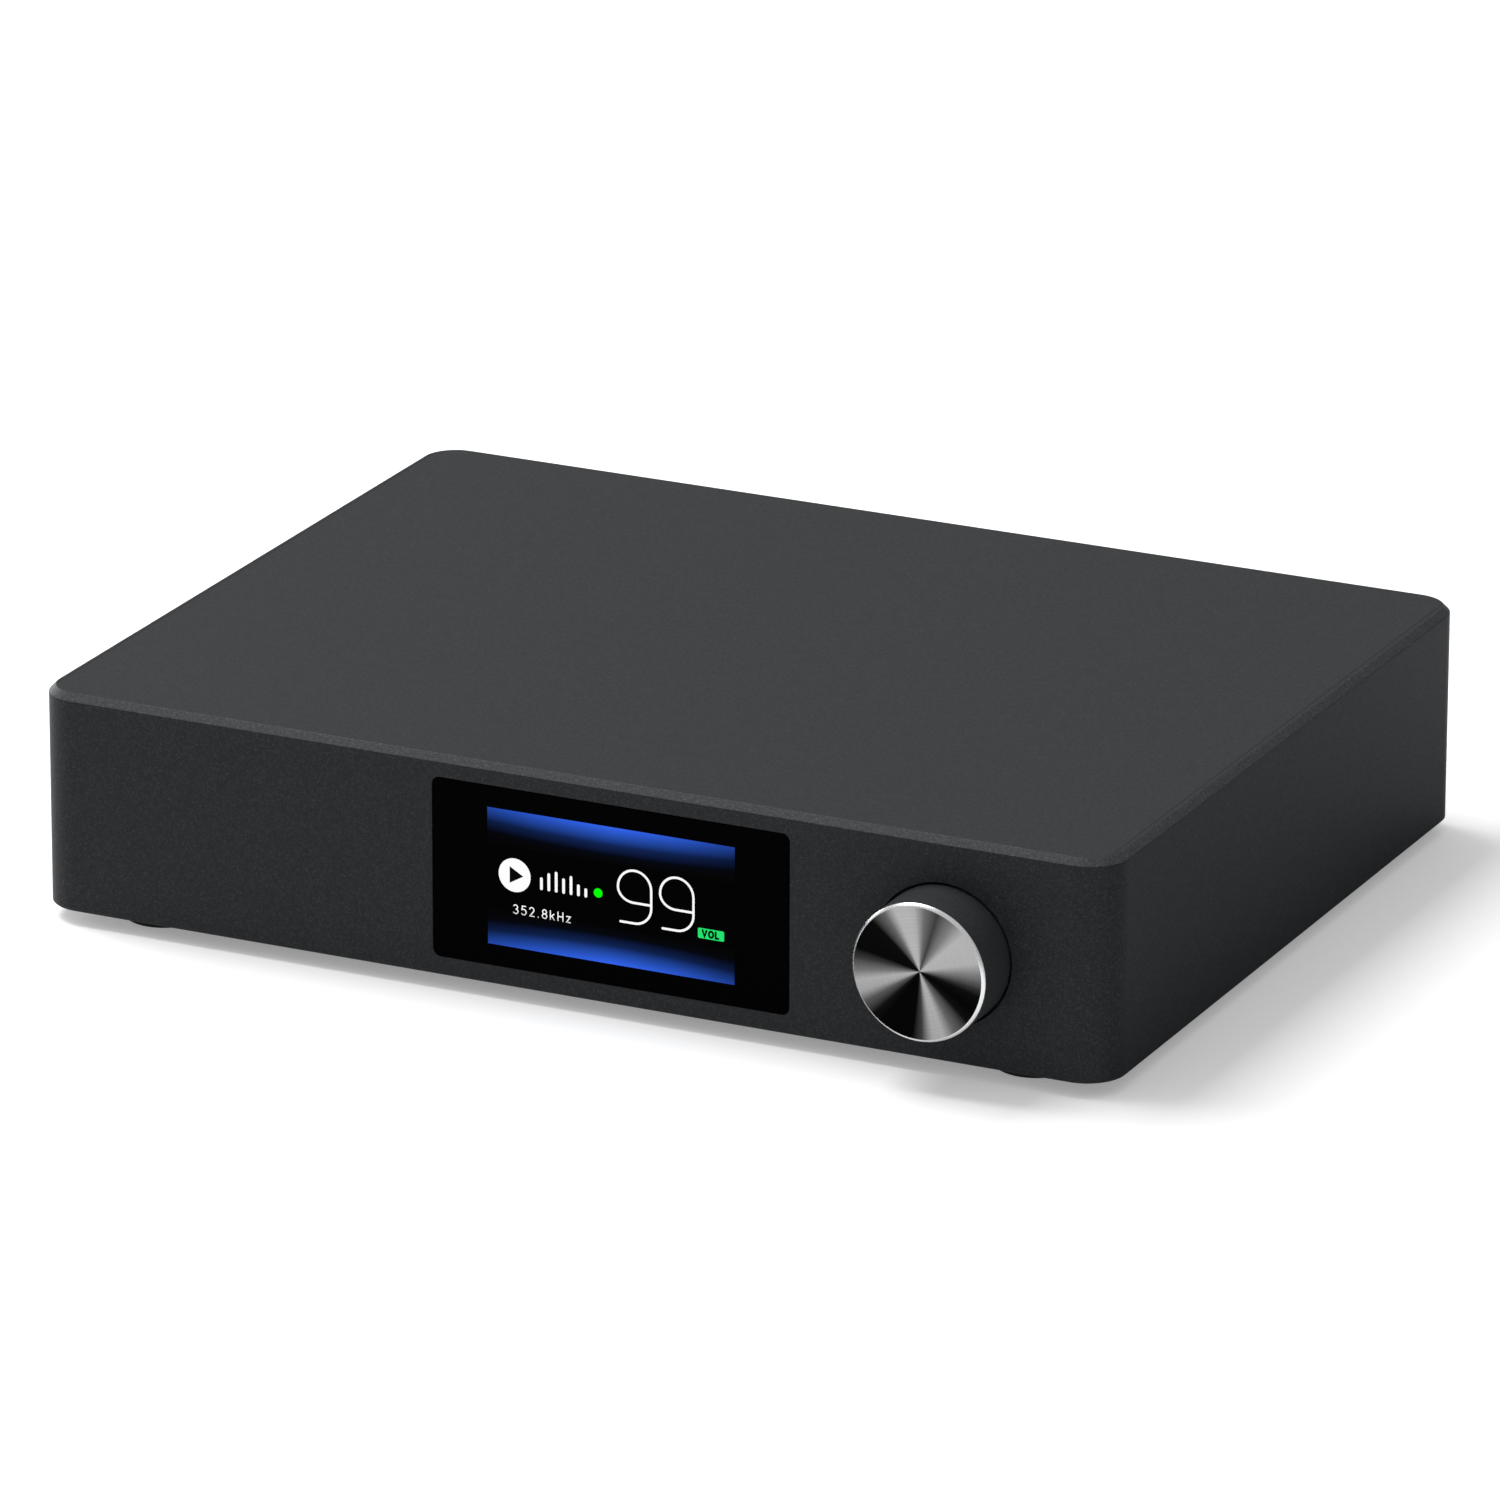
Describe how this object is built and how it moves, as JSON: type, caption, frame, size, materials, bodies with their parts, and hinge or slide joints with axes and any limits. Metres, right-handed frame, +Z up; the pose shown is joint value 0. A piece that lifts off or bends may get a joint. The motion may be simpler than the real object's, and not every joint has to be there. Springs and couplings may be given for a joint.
{
  "type": "desktop dac",
  "caption": "Low flat box with a chamfered dark metal case, a black glass display window and a push-and-turn volume knob at the front, and audio sockets at the back.",
  "frame": {"origin": "centre of the overall box in plan, at the bottom of the feet", "axes": "+X to the user's right, +Y to the back, +Z up"},
  "size_m": [0.196, 0.1672, 0.0409],
  "materials": {
    "dark_anodised": "bead-blasted dark grey anodised",
    "panel_black": "fine matt black anodised",
    "knob_metal": "dark anodised, spun and diamond-cut face",
    "rubber_black": "matt black rubber",
    "screw_black": "black oxide steel",
    "screw_steel": "zinc plated steel",
    "window_black": "smoked black, polished",
    "foam_black": "black foam tape",
    "lcd_glass": "dark display cell",
    "frame_steel": "pressed sheet",
    "white_plastic": "white",
    "red_plastic": "red",
    "orange_plastic": "orange",
    "board_green": "solder-masked circuit board",
    "receiver_dark": "dark infrared-passing",
    "plated_metal": "nickel plated",
    "rotor_plastic": "natural",
    "chip_black": "moulded black",
    "capacitor_sleeve": "sleeved can",
    "transformer_tape": "wound and taped",
    "sink_black": "black anodised",
    "fuse_glass": "fuse in its clips",
    "gold_plated": "gold plated",
    "black_plastic": "moulded black",
    "shutter_grey": "dark grey",
    "lead_black": "insulated lead",
    "lead_red": "insulated lead",
    "flat_cable_white": "flat cable"
  },
  "bodies": {
    "case": {"antenna_jack": "gold_plated", "antenna_lead": "lead_black", "antenna_nut": "gold_plated", "board_screws": "screw_steel", "board_standoffs": "plated_metal", "bottom_plate": "panel_black", "bottom_screws": "screw_black", "capacitors": "capacitor_sleeve", "case_shell": "dark_anodised", "clock_cans": "plated_metal", "display_window": "window_black", "encoder_dome": "plated_metal", "encoder_housing": "plated_metal", "encoder_nut": "plated_metal", "flat_cable": "flat_cable_white", "foot_front_left": "rubber_black", "foot_front_right": "rubber_black", "foot_rear_left": "rubber_black", "foot_rear_right": "rubber_black", "front_board": "board_green", "front_board_screws": "screw_steel", "fuse": "fuse_glass", "heat_sink": "sink_black", "inlet_pins": "plated_metal", "ir_receiver": "receiver_dark", "lcd_backlight": "white_plastic", "lcd_frame": "frame_steel", "lcd_panel": "lcd_glass", "main_board": "board_green", "mains_capacitor": "capacitor_sleeve", "mains_inlet": "black_plastic", "mains_leads": "lead_black", "optical_housing": "black_plastic", "output_relays": "chip_black", "phono_blocks": "black_plastic", "phono_contacts": "gold_plated", "phono_insulator_coax": "orange_plastic", "phono_insulator_left": "white_plastic", "phono_insulator_right": "red_plastic", "phono_shells": "gold_plated", "psu_board": "board_green", "rear_panel": "panel_black", "rear_panel_screws": "screw_black", "signal_chips": "chip_black", "supply_lead": "lead_red", "switch_frame": "black_plastic", "transformer": "transformer_tape", "usb_shell": "plated_metal", "usb_tongue": "black_plastic", "window_gasket": "foam_black", "wireless_module": "board_green", "xlr_housing_left": "black_plastic", "xlr_housing_right": "black_plastic", "xlr_pins": "gold_plated"},
    "encoder_core": {"encoder_rotor": "rotor_plastic"},
    "knob": {"volume_knob": "knob_metal", "encoder_shaft": "screw_steel"},
    "shutter": {"optical_shutter": "shutter_grey"},
    "rocker": {"power_rocker": "black_plastic"}
  },
  "joints": [
    {"name": "knob_turn", "type": "hinge", "parent": "case", "child": "encoder_core", "pos_m": [0.0685, -0.0675, 0.0209], "axis": [0, 1, 0], "continuous": true},
    {"name": "knob_push", "type": "slide", "parent": "encoder_core", "child": "knob", "axis": [0, 1, 0], "range_m": [0, 0.0005], "stiffness_N_per_m": 3000, "springref_m": -0.0008},
    {"name": "shutter_swing", "type": "hinge", "parent": "case", "child": "shutter", "pos_m": [-0.026, 0.0731, 0.0185], "axis": [-1, 0, 0], "range_deg": [0, 80], "stiffness_Nm_per_rad": 0.0006, "springref_deg": -34.38},
    {"name": "power_rocker_tilt", "type": "hinge", "parent": "case", "child": "rocker", "pos_m": [-0.053, 0.0724, 0.0212], "axis": [-1, 0, 0], "range_deg": [0, 14]}
  ]
}
